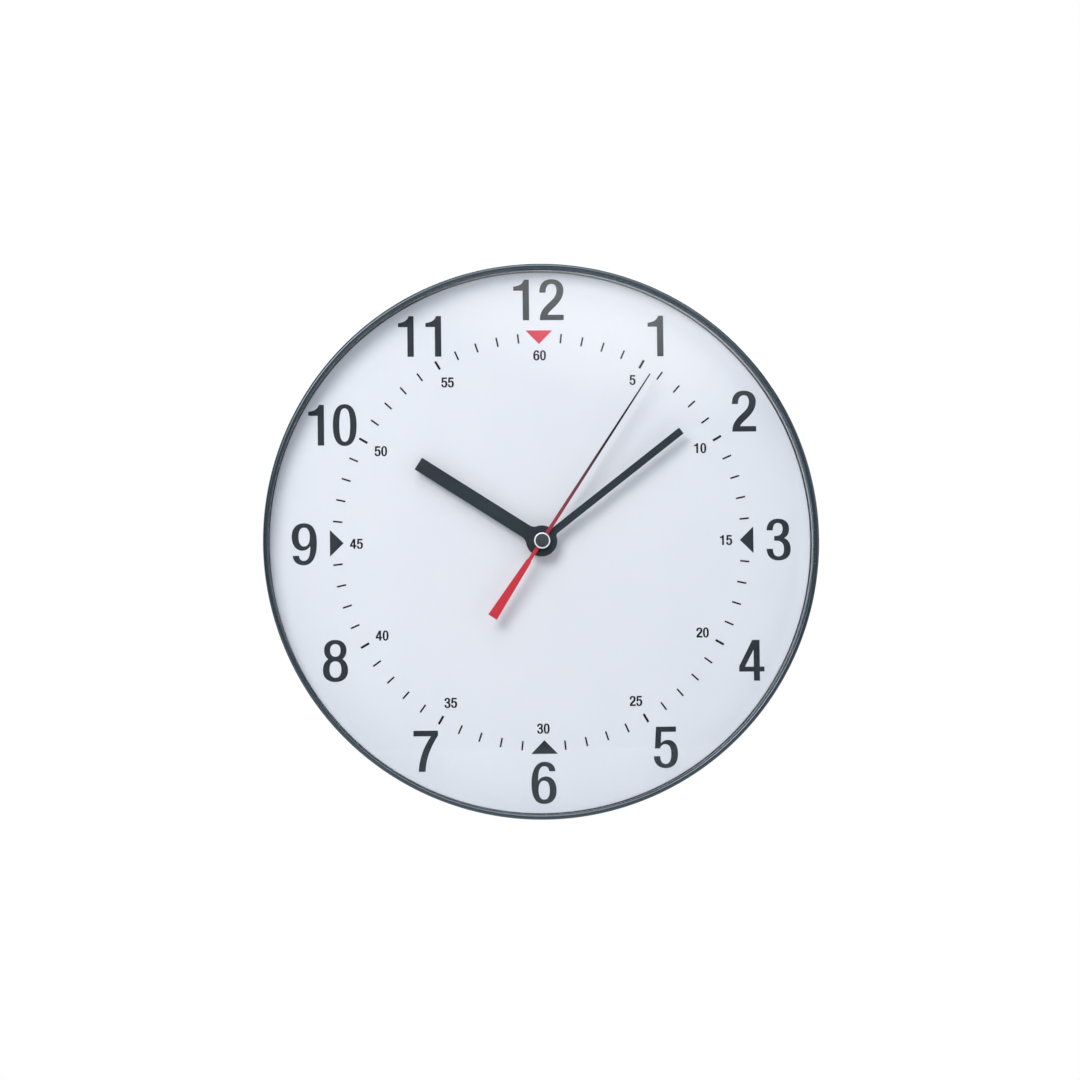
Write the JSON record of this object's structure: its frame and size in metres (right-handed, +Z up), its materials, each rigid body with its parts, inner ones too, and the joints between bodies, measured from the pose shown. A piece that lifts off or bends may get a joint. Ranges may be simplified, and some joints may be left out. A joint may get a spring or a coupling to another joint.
{
  "type": "quartz wall clock",
  "caption": "Round quartz wall clock with a domed lens, printed dial, three centre hands and a geared battery movement in a ribbed case with a keyhole hanger.",
  "frame": {"origin": "on the hands' axis, in the wall plane that the case's rear rim rests on", "axes": "+Z up the dial towards twelve, +Y into the wall, -Y out of the face, +X towards three"},
  "size_m": [0.3, 0.0442, 0.3],
  "materials": {
    "case_black": "satin",
    "bezel_dark": "gloss",
    "lens_clear": "gloss",
    "dial_silver": "satin",
    "rubber_black": "matte",
    "brass": "polished",
    "movement_black": "satin",
    "plastic_white": "satin",
    "plastic_amber": "satin",
    "board_green": "satin",
    "resin_black": "gloss",
    "steel": "satin",
    "copper_wire": "satin",
    "magnet_grey": "satin",
    "cell_grey": "satin",
    "hand_charcoal": "matte",
    "hand_red": "satin",
    "cap_chrome": "polished",
    "cap_dark": "satin"
  },
  "bodies": {
    "case_and_movement": {"case": "case_black", "bezel": "bezel_dark", "lens": "lens_clear", "spacer_ring": "bezel_dark", "dial": "dial_silver", "rubber_washer": "rubber_black", "dial_washer": "brass", "dial_nut": "brass", "movement_front": "movement_black", "middle_plate": "plastic_white", "rear_cover": "movement_black", "circuit_board": "board_green", "chip": "resin_black", "quartz_crystal": "steel", "coil_bobbin": "plastic_white", "coil_winding": "copper_wire", "stator": "steel", "positive_contact": "brass", "negative_contact": "brass", "battery_cell": "cell_grey"},
    "second_hand": {"seconds_wheel": "plastic_amber", "seconds_arbor": "steel", "second_hand": "hand_red", "second_hand_collet": "brass", "hand_cap": "cap_chrome", "cap_inlay": "cap_dark"},
    "rotor": {"rotor_magnet": "magnet_grey", "rotor_pinion": "plastic_white"},
    "intermediate_wheel": {"intermediate_wheel": "plastic_white"},
    "third_wheel": {"third_wheel": "plastic_white"},
    "minute_wheel": {"minute_wheel": "plastic_amber"},
    "motion_bush": {"motion_bush": "brass"},
    "hour_washer": {"hour_washer": "steel"},
    "minute_hand": {"minute_arbor": "plastic_white", "clutch_spring": "steel", "minute_hand": "hand_charcoal", "minute_hand_collet": "brass"},
    "setting_knob": {"motion_wheel": "plastic_white", "setting_knob": "plastic_white"},
    "hour_hand": {"hour_wheel": "plastic_white", "hour_hand": "hand_charcoal", "hour_hand_collet": "brass"}
  },
  "joints": [
    {"name": "second_hand_turn", "type": "hinge", "parent": "case_and_movement", "child": "second_hand", "pos_m": [0, -0.013, 0], "axis": [0, 1, 0], "continuous": true},
    {"name": "rotor_turn", "type": "hinge", "parent": "case_and_movement", "child": "rotor", "pos_m": [0.01866, -0.013, 0.00168], "axis": [0, 1, 0], "continuous": true},
    {"name": "intermediate_wheel_turn", "type": "hinge", "parent": "case_and_movement", "child": "intermediate_wheel", "pos_m": [0.00945, -0.011, -0.00167], "axis": [0, 1, 0], "continuous": true},
    {"name": "third_wheel_turn", "type": "hinge", "parent": "case_and_movement", "child": "third_wheel", "pos_m": [0.0058, -0.014, 0.01005], "axis": [0, 1, 0], "continuous": true},
    {"name": "minute_wheel_turn", "type": "hinge", "parent": "case_and_movement", "child": "minute_wheel", "pos_m": [0, -0.016, 0], "axis": [0, 1, 0], "continuous": true},
    {"name": "motion_bush_turn", "type": "hinge", "parent": "case_and_movement", "child": "motion_bush", "pos_m": [-0.01039, -0.008, 0.006], "axis": [0, 1, 0], "continuous": true},
    {"name": "hour_washer_turn", "type": "hinge", "parent": "case_and_movement", "child": "hour_washer", "pos_m": [0, -0.0217, 0], "axis": [0, 1, 0], "continuous": true},
    {"name": "minute_hand_set", "type": "hinge", "parent": "minute_wheel", "child": "minute_hand", "pos_m": [0, -0.0336, 0], "axis": [0, 1, 0], "continuous": true},
    {"name": "setting_knob_set", "type": "hinge", "parent": "motion_bush", "child": "setting_knob", "pos_m": [-0.01039, -0.006, 0.006], "axis": [0, 1, 0], "continuous": true},
    {"name": "hour_hand_set", "type": "hinge", "parent": "hour_washer", "child": "hour_hand", "pos_m": [0, -0.0314, 0], "axis": [0, 1, 0], "continuous": true}
  ],
  "couplings": [
    {"joint": "intermediate_wheel_turn", "follows": "second_hand_turn", "ratio": -5},
    {"joint": "rotor_turn", "follows": "second_hand_turn", "ratio": 30},
    {"joint": "third_wheel_turn", "follows": "second_hand_turn", "ratio": -0.13333},
    {"joint": "minute_wheel_turn", "follows": "second_hand_turn", "ratio": 0.016667},
    {"joint": "motion_bush_turn", "follows": "second_hand_turn", "ratio": -0.0055556},
    {"joint": "hour_washer_turn", "follows": "second_hand_turn", "ratio": 0.0013889},
    {"joint": "setting_knob_set", "follows": "minute_hand_set", "ratio": -0.33333},
    {"joint": "hour_hand_set", "follows": "minute_hand_set", "ratio": 0.083333}
  ]
}
